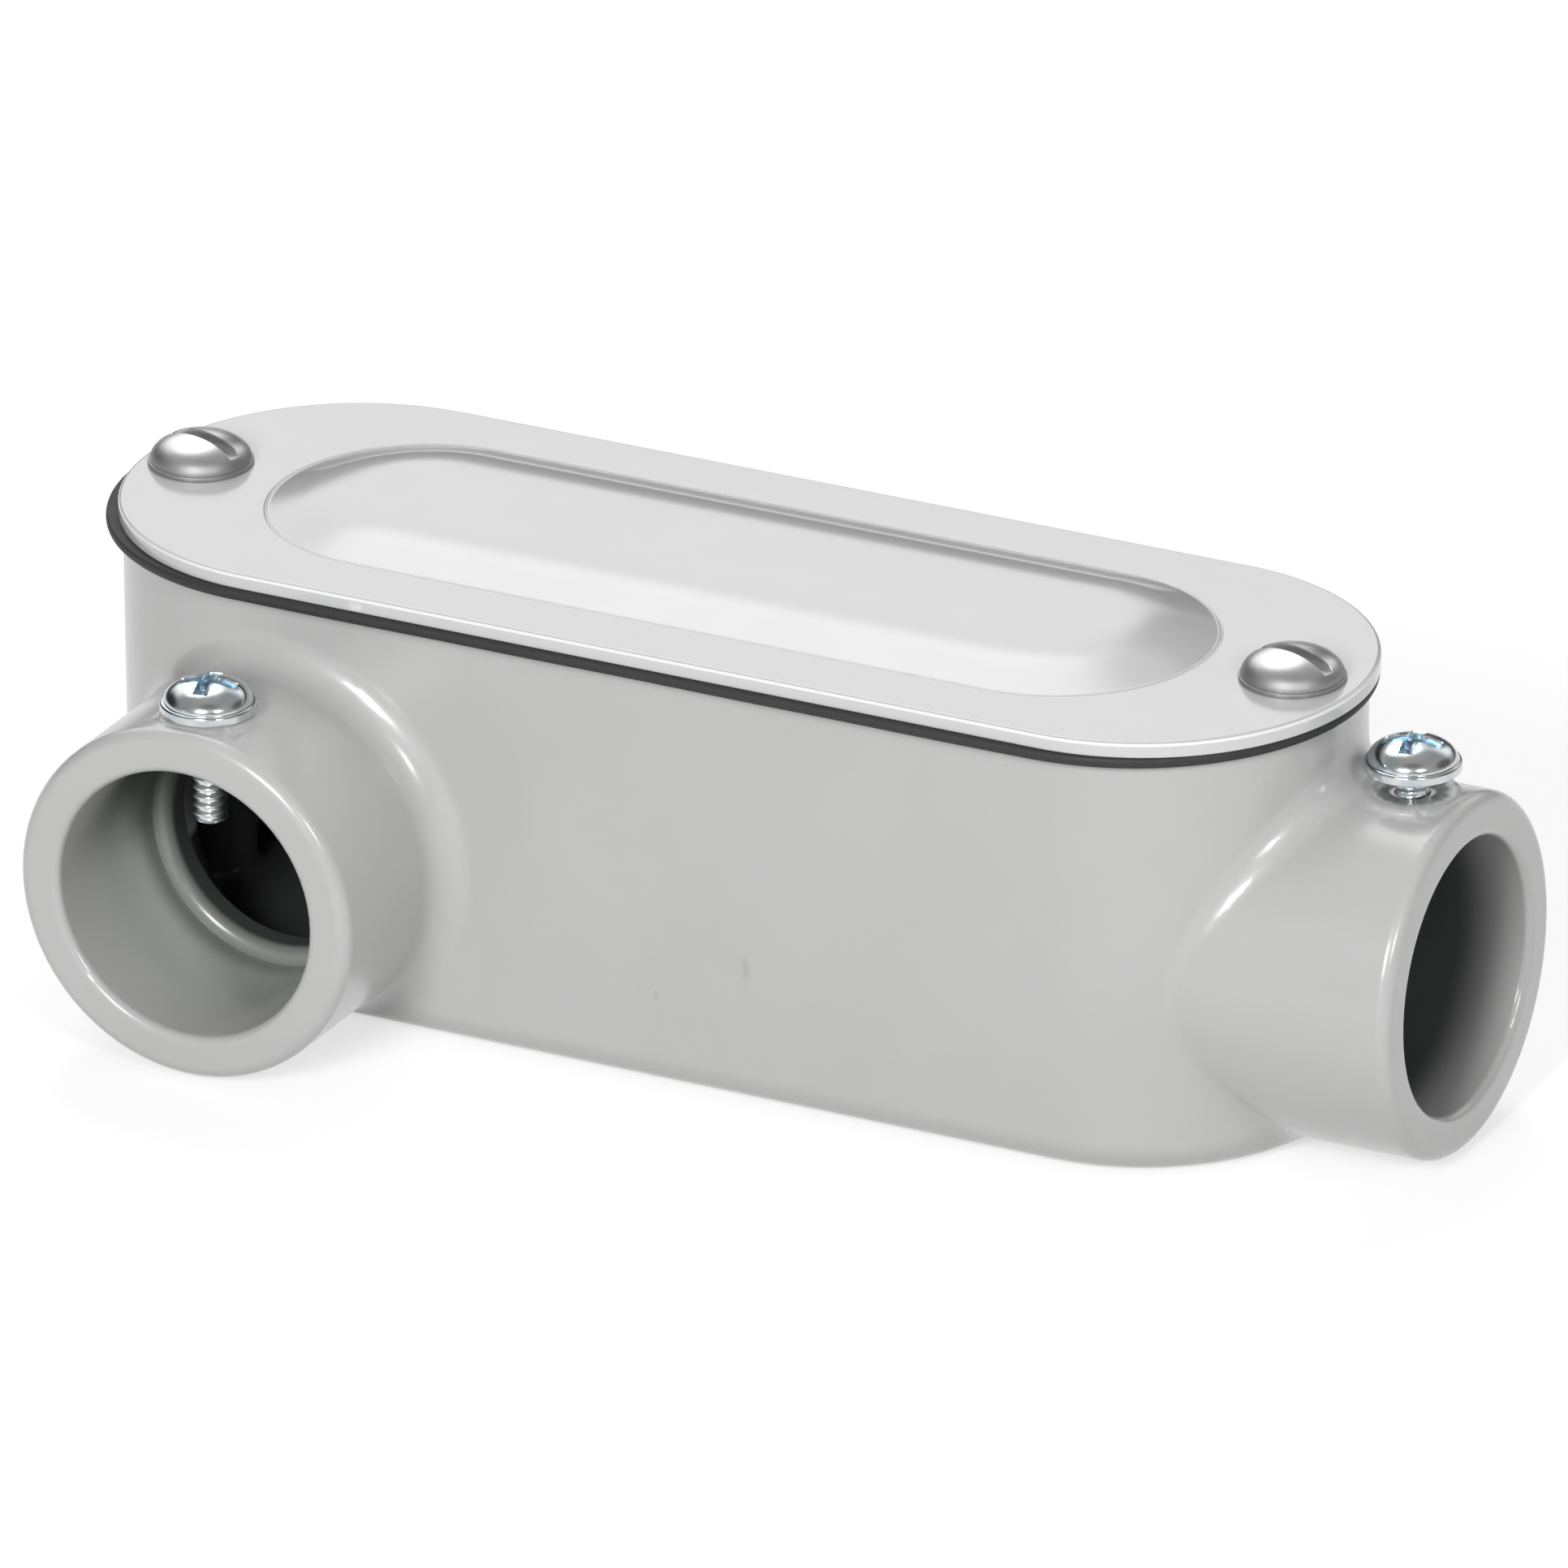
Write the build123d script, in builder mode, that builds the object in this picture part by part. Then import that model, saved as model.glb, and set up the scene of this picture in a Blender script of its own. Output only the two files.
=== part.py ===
from build123d import *
from math import radians, tan
import os

os.makedirs("parts", exist_ok=True)

# LR conduit body, trade size 3/4, with set-screw hubs for thin-wall tube. Millimetres.
# X runs along the box with the end hub at +X, the side hub points to -Y, the cover is at +Z.
# The origin is the middle of the flat back, which lies on the XY plane.

# Box of the casting: a round-ended prism, open at the top
box_length = 115.3
box_beside_hub = 3.05
rim_above_hub = 6.1
wall = 2.6
floor = 2.8
back_edge_r = 3.0
rim_edge_r = 0.5
chamber_corner_r = 1.6
chamber_edge_r = 1.2

# Hubs: each is a socket for the tube, with a stop lip and a smaller throat behind it
tube_bore_r = 11.85
hub_wall = 4.15
hub_above_back = 0.3
end_hub_past_box = 11.65
socket_depth = 18.0
lead_in_flare = 0.3
lead_in_past_screw = 0.95
throat_step = 1.45
stop_lip = 1.25
side_hub_from_box_end = 22.35
root_r = 3.2
mouth_outer_r = 1.2
mouth_inner_r = 0.8
lip_edge_r = 0.4

# Set screws, one above each hub near its mouth
set_screw_from_mouth = 5.4
set_shank_r = 2.05
set_shank_length = 11.0
set_head_r = 4.2
set_head_height = 2.4
set_rim_height = 0.6
set_point = 0.8
set_pad_r = 4.0
set_pad_rise = 0.3
set_pad_root = 1.4
set_pad_draft = 30.0
end_screw_backed_out = 2.0
cross_span = 4.8
cross_width = 1.1
cross_depth = 1.4
cross_turn = 12.0

# Cover screws, one at each end of the cover
cover_screw_from_box_end = 5.05
cover_shank_r = 2.05
cover_shank_length = 9.5
cover_head_r = 4.6
cover_head_height = 2.7
cover_rim_height = 0.4
cover_point = 0.6
screw_post_r = 4.3
tapped_run_out = 1.2
thread_clearance = 0.05
slot_width = 1.2
slot_depth = 1.3
slot_turn = -12.0

# Gasket
gasket_thickness = 0.9
gasket_end_overhang = 1.4
gasket_side_overhang = 1.75
gasket_side_band = 6.0
gasket_post_band = 1.9
gasket_hole_r = 2.4

# Stamped cover
cover_end_overhang = 0.65
cover_side_overhang = 1.15
cover_shift = 0.4
sheet = 1.4
cover_edge_r = 0.4
cover_hole_r = 2.7
panel_end_margin = 14.3
panel_side_margin = 6.6
panel_rise = 1.8
panel_slope_run = 5.6
panel_crown_r = 18.0

# Places that follow from the sizes above
hub_r = tube_bore_r + hub_wall
throat_r = tube_bore_r - throat_step
hub_axis_z = hub_r + hub_above_back
hub_top_z = hub_axis_z + hub_r
pad_z = hub_top_z + set_pad_rise
box_width = 2 * (hub_r + box_beside_hub)
box_height = hub_top_z + rim_above_hub
chamber_length = box_length - 2 * wall
chamber_width = box_width - 2 * wall
end_hub_reach = box_length / 2 + end_hub_past_box
chamber_end_x = end_hub_reach - socket_depth - stop_lip
side_hub_reach = chamber_width / 2 + stop_lip + socket_depth
side_hub_x = side_hub_from_box_end - box_length / 2
lead_in_depth = set_screw_from_mouth + set_shank_r + lead_in_past_screw
ledge_z = hub_axis_z + tube_bore_r + wall
cover_z = box_height + gasket_thickness
cover_top_z = cover_z + sheet
cover_length = box_length + 2 * cover_end_overhang
cover_width = box_width + 2 * cover_side_overhang
cover_screw_x = box_length / 2 - cover_screw_from_box_end
cover_screw_places = [(-cover_screw_x, 0), (cover_screw_x, 0)]
tapped_depth = cover_shank_length - sheet - gasket_thickness + tapped_run_out
set_screw_places = [
    (end_hub_reach - set_screw_from_mouth, 0),
    (side_hub_x, set_screw_from_mouth - side_hub_reach),
]
end_mouth = Plane((end_hub_reach, 0, hub_axis_z), x_dir=(0, 1, 0), z_dir=(1, 0, 0))
side_mouth = Plane((side_hub_x, -side_hub_reach, hub_axis_z), x_dir=(1, 0, 0), z_dir=(0, -1, 0))
down_from = (Align.CENTER, Align.CENTER, Align.MAX)


# Casting: box, hubs, pads and screw posts in one piece
with BuildPart() as body_casting:
    with BuildSketch():
        SlotOverall(box_length, box_width)
    extrude(amount=box_height)
    fillet(body_casting.faces().sort_by(Axis.Z)[0].edges(), back_edge_r)
    fillet(body_casting.faces().sort_by(Axis.Z)[-1].edges(), rim_edge_r)

    # both hubs, blended into the box and rounded at the mouth
    with BuildSketch(end_mouth):
        Circle(hub_r)
    extrude(amount=-end_hub_reach)
    root_edges = body_casting.edges(Select.NEW)
    with BuildSketch(side_mouth):
        Circle(hub_r)
    extrude(amount=-side_hub_reach)
    root_edges += body_casting.edges(Select.NEW)
    fillet(root_edges, root_r)
    end_face = body_casting.faces().sort_by(Axis.X)[-1]
    side_face = body_casting.faces().sort_by(Axis.Y)[0]
    fillet(end_face.edges() + side_face.edges(), mouth_outer_r)

    # flat pad on the crest of each hub, where its set screw goes in
    with BuildSketch(Plane.XY.offset(pad_z)):
        with Locations(set_screw_places):
            Circle(set_pad_r)
    extrude(amount=-set_pad_root, taper=-set_pad_draft)

    # wiring chamber, with a post for the first cover screw and a web behind the end hub
    with BuildSketch(Plane.XY.offset(floor)):
        SlotOverall(chamber_length, chamber_width)
        with Locations((chamber_end_x, 0)):
            Rectangle(box_length, box_width, align=(Align.MIN, Align.CENTER), mode=Mode.SUBTRACT)
        with Locations(cover_screw_places[0]):
            Circle(screw_post_r, mode=Mode.SUBTRACT)
            Rectangle(box_length, 2 * screw_post_r, align=(Align.MAX, Align.CENTER), mode=Mode.SUBTRACT)
    extrude(amount=box_height - floor, mode=Mode.SUBTRACT)
    corners = body_casting.edges(Select.LAST).filter_by(Axis.Z).group_by(Axis.X)
    fillet(corners[0] + corners[-1], chamber_corner_r)
    chamber_floor = body_casting.faces().filter_by(Axis.Z).group_by(Axis.Z)[1]
    fillet(chamber_floor.edges(), chamber_edge_r)

    # shallow pocket above the web, round the post for the second cover screw
    with BuildSketch(Plane.XY.offset(ledge_z)):
        SlotOverall(chamber_length, chamber_width)
        Rectangle(box_length, box_width, align=(Align.MAX, Align.CENTER), mode=Mode.SUBTRACT)
        with Locations(cover_screw_places[1]):
            Circle(screw_post_r, mode=Mode.SUBTRACT)
            Rectangle(box_length, 2 * screw_post_r, align=(Align.MIN, Align.CENTER), mode=Mode.SUBTRACT)
    extrude(amount=box_height - ledge_z, mode=Mode.SUBTRACT)

    # sockets: the straight seat, a lead-in that widens to the mouth, the stop and the throat
    with Locations(end_mouth, side_mouth):
        Cylinder(tube_bore_r, socket_depth, align=down_from, mode=Mode.SUBTRACT)
        Cone(
            tube_bore_r,
            tube_bore_r + lead_in_flare,
            lead_in_depth,
            align=down_from,
            mode=Mode.SUBTRACT,
        )
        Cylinder(throat_r, socket_depth + wall, align=down_from, mode=Mode.SUBTRACT)
    end_face = body_casting.faces().sort_by(Axis.X)[-1]
    side_face = body_casting.faces().sort_by(Axis.Y)[0]
    mouth_rings = end_face.inner_wires() + side_face.inner_wires()
    fillet([ring.edge() for ring in mouth_rings], mouth_inner_r)
    end_stop = body_casting.faces().filter_by(Axis.X).filter_by_position(
        Axis.X, chamber_end_x + stop_lip / 2, end_hub_reach - socket_depth / 2
    )
    side_stop = body_casting.faces().filter_by(Axis.Y).filter_by_position(
        Axis.Y, socket_depth / -2 - chamber_width / 2, -(chamber_width + stop_lip) / 2
    )
    lip_rings = end_stop[0].inner_wires() + side_stop[0].inner_wires()
    fillet([ring.edge() for ring in lip_rings], lip_edge_r)

    # tapped holes for the set screws and the cover screws
    with BuildSketch(Plane.XY.offset(pad_z)):
        with Locations(set_screw_places):
            Circle(set_shank_r + thread_clearance)
    extrude(amount=hub_axis_z - pad_z, mode=Mode.SUBTRACT)
    with BuildSketch(Plane.XY.offset(box_height)):
        with Locations(cover_screw_places):
            Circle(cover_shank_r + thread_clearance)
    extrude(amount=-tapped_depth, mode=Mode.SUBTRACT)
body_casting.part.label = "body_casting"
export_step(body_casting.part, "parts/body_casting.step")


# Gasket: one flat ring of rubber between the rim and the cover
window_length = 2 * (cover_screw_x - screw_post_r - gasket_post_band)
window_width = box_width + 2 * gasket_side_overhang - 2 * gasket_side_band
with BuildPart() as cover_gasket:
    with BuildSketch(Plane.XY.offset(box_height)):
        SlotOverall(box_length + 2 * gasket_end_overhang, box_width + 2 * gasket_side_overhang)
        SlotOverall(window_length, window_width, mode=Mode.SUBTRACT)
        with Locations(cover_screw_places):
            Circle(gasket_hole_r, mode=Mode.SUBTRACT)
    extrude(amount=gasket_thickness)
cover_gasket.part.label = "cover_gasket"
export_step(cover_gasket.part, "parts/cover_gasket.step")


# Cover: one stamped sheet with a raised panel, hollow underneath
panel_length = cover_length - 2 * panel_end_margin
panel_width = cover_width - 2 * panel_side_margin
slope_angle = Vector(panel_slope_run, panel_rise).get_angle(Vector(1, 0))
sheet_fold = sheet * tan(radians(slope_angle / 2))
with BuildPart() as cover_plate:
    with BuildSketch(Plane.XY.offset(cover_z)):
        with Locations((cover_shift, 0)):
            SlotOverall(cover_length, cover_width)
    extrude(amount=sheet)
    fillet(cover_plate.faces().sort_by(Axis.Z)[-1].edges(), cover_edge_r)
    with BuildSketch(Plane.XY.offset(cover_top_z)):
        SlotOverall(panel_length, panel_width)
    extrude(amount=panel_rise, taper=90 - slope_angle)
    fillet(cover_plate.faces().sort_by(Axis.Z)[-1].edges(), panel_crown_r)
    with BuildSketch(Plane.XY.offset(cover_z)):
        SlotOverall(panel_length - 2 * sheet_fold, panel_width - 2 * sheet_fold)
    extrude(amount=panel_rise, taper=90 - slope_angle, mode=Mode.SUBTRACT)
    with BuildSketch(Plane.XY.offset(cover_z)):
        with Locations(cover_screw_places):
            Circle(cover_hole_r)
    extrude(amount=sheet, mode=Mode.SUBTRACT)
cover_plate.part.label = "cover_plate"
export_step(cover_plate.part, "parts/cover_plate.step")


# Screws: a domed head on its rim above the seat, a shank with a chamfered point below it
def turned_screw(place, seat_z, head, shank):
    """Revolve a screw's outline about its own axis; head and shank each give radius, length, edge."""
    head_r, head_height, rim_height = head
    shank_r, shank_length, point = shank
    side_view = Plane((*place, seat_z), x_dir=(1, 0, 0), z_dir=(0, -1, 0))
    with BuildPart() as screw:
        with BuildSketch(side_view):
            with BuildLine():
                Polyline(
                    (0, -shank_length),
                    (shank_r - point, -shank_length),
                    (shank_r, point - shank_length),
                    (shank_r, 0),
                    (head_r, 0),
                    (head_r, rim_height),
                )
                EllipticalCenterArc((0, rim_height), head_r, head_height - rim_height, arc_size=90)
                Line((0, head_height), (0, -shank_length))
            make_face()
        revolve(axis=Axis(side_view.origin, side_view.y_dir))
    return screw.part


cover_head = (cover_head_r, cover_head_height, cover_rim_height)
cover_shank = (cover_shank_r, cover_shank_length, cover_point)
cover_screw_names = ("cover_screw_blind_end", "cover_screw_hub_end")
for name, place in zip(cover_screw_names, cover_screw_places):
    with BuildPart() as cover_screw:
        add(turned_screw(place, cover_top_z, cover_head, cover_shank))
        with BuildSketch(Plane.XY.offset(cover_top_z + cover_head_height)):
            with Locations(place):
                Rectangle(3 * cover_head_r, slot_width, rotation=slot_turn)
        extrude(amount=-slot_depth, mode=Mode.SUBTRACT)
    cover_screw.part.label = name
    export_step(cover_screw.part, f"parts/{name}.step")

set_head = (set_head_r, set_head_height, set_rim_height)
set_shank = (set_shank_r, set_shank_length, set_point)
set_screw_names = ("set_screw_end_hub", "set_screw_side_hub")
for name, place, lift in zip(set_screw_names, set_screw_places, (end_screw_backed_out, 0)):
    with BuildPart() as set_screw:
        add(turned_screw(place, pad_z + lift, set_head, set_shank))
        with BuildSketch(Plane.XY.offset(pad_z + lift + set_head_height)):
            with Locations(place):
                Rectangle(cross_span, cross_width, rotation=cross_turn)
                Rectangle(cross_width, cross_span, rotation=cross_turn)
        extrude(amount=-cross_depth, mode=Mode.SUBTRACT)
    set_screw.part.label = name
    export_step(set_screw.part, f"parts/{name}.step")
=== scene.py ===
import math

import bmesh
import bpy
import numpy as np
from mathutils import Matrix, Vector


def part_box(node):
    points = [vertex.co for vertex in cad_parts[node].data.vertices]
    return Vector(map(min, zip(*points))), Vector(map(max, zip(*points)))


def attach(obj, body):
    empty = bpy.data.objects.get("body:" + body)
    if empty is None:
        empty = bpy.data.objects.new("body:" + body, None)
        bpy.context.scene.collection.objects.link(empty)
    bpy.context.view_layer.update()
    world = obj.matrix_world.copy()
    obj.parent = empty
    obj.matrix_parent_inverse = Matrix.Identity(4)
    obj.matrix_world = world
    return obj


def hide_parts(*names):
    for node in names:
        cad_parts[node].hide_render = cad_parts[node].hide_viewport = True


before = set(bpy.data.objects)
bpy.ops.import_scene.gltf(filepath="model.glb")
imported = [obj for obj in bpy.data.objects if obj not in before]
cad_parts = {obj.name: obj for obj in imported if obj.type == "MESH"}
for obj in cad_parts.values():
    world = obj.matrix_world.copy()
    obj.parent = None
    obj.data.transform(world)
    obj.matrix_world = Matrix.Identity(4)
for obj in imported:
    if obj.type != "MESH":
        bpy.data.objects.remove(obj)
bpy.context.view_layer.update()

mm = 0.001  # sizes below are in mm, where no note says metres
print("frame loaded:", len(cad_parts), "nodes")


class Wire:
    # a node's output, wrapped so that sums on it add Math nodes
    def __init__(self, shader, socket):
        self.shader = shader
        self.socket = socket

    def math(self, operation, *others):
        return self.shader.node("ShaderNodeMath", {"operation": operation}, [self, *others])

    def __add__(self, other):
        return self.math("ADD", other)

    def __sub__(self, other):
        return self.math("SUBTRACT", other)

    def __mul__(self, other):
        return self.math("MULTIPLY", other)

    def __truediv__(self, other):
        return self.math("DIVIDE", other)

    def __pow__(self, other):
        return self.math("POWER", other)

    def __rsub__(self, other):
        return self.shader.node("ShaderNodeMath", {"operation": "SUBTRACT"}, [other, self])

    __radd__ = __add__
    __rmul__ = __mul__


class Shader:
    # one node tree: settings go on a node first, then its sockets get values or links
    def __init__(self, owner):
        owner.use_nodes = True
        self.owner = owner
        self.tree = owner.node_tree
        self.tree.nodes.clear()

    def node(self, kind, settings=None, inputs=(), output=0):
        made = self.tree.nodes.new(kind)
        for name, value in (settings or {}).items():
            setattr(made, name, value)
        pairs = inputs.items() if isinstance(inputs, dict) else enumerate(inputs)
        for key, value in pairs:
            if isinstance(value, Wire):
                self.tree.links.new(value.socket, made.inputs[key])
            else:
                made.inputs[key].default_value = value
        return Wire(self, made.outputs[output])

    def spot(self, centre=(0, 0, 0)):
        # object coordinates about a centre, in metres
        place = self.node("ShaderNodeTexCoord", output="Object")
        return self.node("ShaderNodeVectorMath", {"operation": "SUBTRACT"}, [place, centre])

    def length(self, spot, stretch=(1, 1, 1)):
        # distance from the centre, with each axis times its stretch
        wide = self.node("ShaderNodeVectorMath", {"operation": "MULTIPLY"}, [spot, stretch])
        return self.node("ShaderNodeVectorMath", {"operation": "LENGTH"}, [wide], output="Value")

    def axes(self, spot):
        return [self.node("ShaderNodeSeparateXYZ", None, [spot], output=axis) for axis in "XYZ"]

    def ray(self, kind):
        # 1 for rays of one kind, such as Camera, and 0 for others
        return self.node("ShaderNodeLightPath", output="Is " + kind + " Ray")

    def noise(self, spot, size, detail=2.0, rough=0.5):
        # cloudy pattern, size in mm from blotch to blotch
        return self.node("ShaderNodeTexNoise", {"noise_dimensions": "3D"},
                         {"Vector": spot, "Scale": 1 / (size * mm), "Detail": detail, "Roughness": rough})

    def between(self, ends, amount):
        # 0 where the amount is at the first end and 1 at the second, softly
        return self.node("ShaderNodeMapRange", {"interpolation_type": "SMOOTHSTEP"},
                         {"Value": amount, "From Min": ends[0], "From Max": ends[1]})

    def fade(self, ends, length):
        # the same for a length in metres and ends in mm
        return self.between([end * mm for end in ends], length)

    def blend(self, amount, first, second):
        # 0, 6, 7 and 2 are the Mix node's sockets for colours
        return self.node("ShaderNodeMix", {"data_type": "RGBA"},
                         {0: amount, 6: first, 7: second}, output=2)

    def bump(self, height, distance, below=None):
        # distance in mm
        inputs = {"Strength": 1.0, "Distance": distance * mm, "Height": height}
        if below:
            inputs["Normal"] = below
        return self.node("ShaderNodeBump", None, inputs)

    def close(self, surface, kind="ShaderNodeOutputMaterial"):
        last = self.tree.nodes.new(kind)
        self.tree.links.new(surface.socket, last.inputs[0])
        return self.owner

    def finish(self, **sockets):
        values = {name.replace("_", " "): value for name, value in sockets.items()}
        return self.close(self.node("ShaderNodeBsdfPrincipled", None, values))


def grid(points, wrap=True):
    # rows x columns x 3 points, joined to quads; wrap closes each row on itself
    rows, columns = points.shape[:2]
    index = np.arange(rows * columns).reshape(rows, columns)
    if wrap:
        index = np.concatenate([index, index[:, :1]], axis=1)
    quads = np.stack([index[:-1, :-1], index[:-1, 1:], index[1:, 1:], index[1:, :-1]], axis=-1)
    return points.reshape(-1, 3), quads.reshape(-1, 4)


def meshObject(name, points, quads):
    mesh = bpy.data.meshes.new(name)
    mesh.from_pydata(points.tolist(), [], quads.tolist())
    made = bpy.data.objects.new(name, mesh)
    bpy.context.scene.collection.objects.link(made)
    return made


def weld(made, distance=1e-6):
    # doubles merged, faces outwards
    work = bmesh.new()
    work.from_mesh(made.data)
    bmesh.ops.remove_doubles(work, verts=work.verts, dist=distance)
    bmesh.ops.dissolve_degenerate(work, edges=work.edges, dist=distance / 10)
    bmesh.ops.recalc_face_normals(work, faces=work.faces)
    work.to_mesh(made.data)
    work.free()


def shade(made, sharp):
    # smooth, apart from edges sharper than the angle in degrees, with large faces kept flat
    made.data.shade_smooth()
    made.data.set_sharp_from_angle(angle=math.radians(sharp))
    evener = made.modifiers.new("even normals", "WEIGHTED_NORMAL")
    evener.keep_sharp = True
    evener.weight = 60


def piece(name, parts, body, node=None, sharp=50):
    # grids joined into one closed mesh that rides on a body and may stand for a CAD node
    points, quads = zip(*parts)
    starts = np.cumsum([0] + [len(spots) for spots in points[:-1]])
    joined = np.concatenate([faces + start for faces, start in zip(quads, starts)])
    made = meshObject(name, np.concatenate(points), joined)
    weld(made)
    shade(made, sharp)
    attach(made, body)
    if node:
        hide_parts(node)
    return made


def ringRows(half, radius, shift, height):
    # rows for roundEnded from arrays or numbers
    return np.stack(np.broadcast_arrays(half, radius, shift, height), axis=1).astype(float)


def roundEnded(rows, endSteps=72, sideSteps=48):
    # each row (straight half, radius, shift, height) is carried round an outline with two half-circle ends:
    # x = end * straight half + outX * radius + shift, y = outY * radius
    arc = np.linspace(-math.pi / 2, math.pi / 2, endSteps)
    side = np.linspace(1, -1, sideSteps + 2)[1:-1]
    flat = np.zeros(sideSteps)
    end = np.concatenate([np.ones(endSteps), side, -np.ones(endSteps), -side])
    outX = np.concatenate([np.cos(arc), flat, -np.cos(arc), flat])
    outY = np.concatenate([np.sin(arc), flat + 1, -np.sin(arc), flat - 1])
    straight, radius, shift, height = (row[:, None] for row in rows.T)
    x = end * straight + outX * radius + shift
    y = outY * radius
    z = height + 0 * x
    return np.stack([x, y, z], axis=-1) * mm


def drill(made, places, radius, low, high):
    # round holes along Z from low to high, cut and applied; the tool is a can, (reach cos a, reach sin a,
    # height) on four rings, that goes 1 mm beyond both faces
    turn = np.linspace(0, 2 * math.pi, 96, endpoint=False)
    reach = np.array([0, radius, radius, 0])[:, None]
    height = np.array([low - 1, low - 1, high + 1, high + 1])[:, None]
    can = np.stack([reach * np.cos(turn), reach * np.sin(turn), height + 0 * turn], axis=-1)
    for x, y in places:
        tool = meshObject("drill", *grid((can + (x, y, 0)) * mm))
        weld(tool)
        cut = made.modifiers.new("hole", "BOOLEAN")
        cut.operation = "DIFFERENCE"
        cut.solver = "EXACT"
        cut.object = tool
        bpy.context.view_layer.objects.active = made
        made.select_set(True)
        bpy.ops.object.modifier_move_to_index(modifier="hole", index=0)
        bpy.ops.object.modifier_apply(modifier="hole")
        made.select_set(False)
        bpy.data.objects.remove(tool)


def cloudyColour(paint, look, spot):
    # the paint's colour, blended with a second one in soft clouds
    clouds = paint.between(look["cloudEnds"], paint.noise(spot, look["cloudSize"], detail=4.0, rough=0.6))
    return paint.blend(clouds * look["cloudShare"], look["colour"], look["cloudColour"])


def paintedSkin(paint, look, spot):
    # the normal, fine orange peel over slow waves, and the roughness, in patches about its mean
    peel = paint.bump(paint.noise(spot, look["peelSize"]), look["peelHeight"])
    waves = paint.bump(paint.noise(spot, look["waveSize"], detail=1.0), look["waveHeight"], peel)
    patches = paint.noise(spot, look["patchSize"], detail=3.0) - 0.5
    return waves, patches * look["patchRoughness"] + look["roughness"]


castingLook = {
    # sizes in mm; a pair is where a tone is at 0 and at 1
    "colour": (0.505, 0.508, 0.502, 1),
    "cloudColour": (0.462, 0.467, 0.455, 1), "cloudSize": 16, "cloudEnds": (0.35, 0.75), "cloudShare": 0.4,
    "peelSize": 1.1, "peelHeight": 0.012, "waveSize": 12, "waveHeight": 0.05,
    "roughness": 0.42, "patchSize": 4, "patchRoughness": 0.12,
    "coat": 0.85, "coatRoughness": 0.19, "dullCoat": 0.85, "dullRoughness": 0.3,
    "marks": [((10.2, -19.05, 12.8), (0.45, 1.0, 1.5)), ((1.5, -19.05, 8.8), (0.25, 1.0, 0.6))],
    "markColour": (0.13, 0.13, 0.125, 1), "markEdge": (1.3, 0), "markShare": 0.2,
    "hubAxis": 16.3, "hubReach": 69.3, "sideHubX": -35.3, "sideHubReach": 35.7,
    "socketRadius": (12.3, 12.2), "socketEnd": (22, 20.5),
    # painted shade: darker deep in the end socket
    "socketShadeColour": (0.05, 0.056, 0.052, 1), "socketDepth": (1, 7),
    "sideColour": (0.5, 0.515, 0.48, 1), "sideDepth": (1, 9),
    # painted shade: darker at the top and the back of the side socket
    "sideShadeColour": (0.04, 0.048, 0.04, 1), "sideTop": (-3, 8), "sideBack": (13, 16), "sideBackShare": 0.55,
    "throatRadius": (10.9, 10.5), "throatDepth": (16.9, 17.6),
    # painted shade: darker in the chamber and the throats
    "chamberShadeColour": (0.07, 0.073, 0.073, 1), "chamberHalf": 38.6, "chamberRadius": (17.9, 17.6),
    "chamberEnd": (50.3, 50), "chamberRim": (38.2, 37.8), "chamberFloor": (2, 2.6),
}


def markMask(paint, look):
    # 1 in the middle of each mark and 0 at the edge of its ellipsoid
    mask = 0.0
    for centre, reach in look["marks"]:
        distance = paint.length(paint.spot([c * mm for c in centre]), [1 / (r * mm) for r in reach])
        mask = paint.between(look["markEdge"], distance) + mask
    return mask


def socketMasks(paint, look, start, depth, aside):
    # for one hub, from the depth behind its mouth and the distance from its axis: its socket, and the throat
    # behind it, the masks where shade is painted and the paint is duller
    inside = paint.fade(look["socketRadius"], aside) * paint.fade(look["socketEnd"], depth)
    socket = paint.fade(start, depth) * inside
    throat = paint.fade(look["throatDepth"], depth) * paint.fade(look["throatRadius"], aside) * inside
    return socket, throat


def chamberMask(paint, look, x, y, z):
    # 1 within the round-ended chamber, where its shade is painted: near its middle line, short of the end hub,
    # between floor and rim
    past = (x.math("ABSOLUTE") - look["chamberHalf"] * mm).math("MAXIMUM", 0.0)
    within = paint.fade(look["chamberRadius"], (past * past + y * y) ** 0.5) * paint.fade(look["chamberEnd"], x)
    return within * paint.fade(look["chamberRim"], z) * paint.fade(look["chamberFloor"], z)


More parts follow.
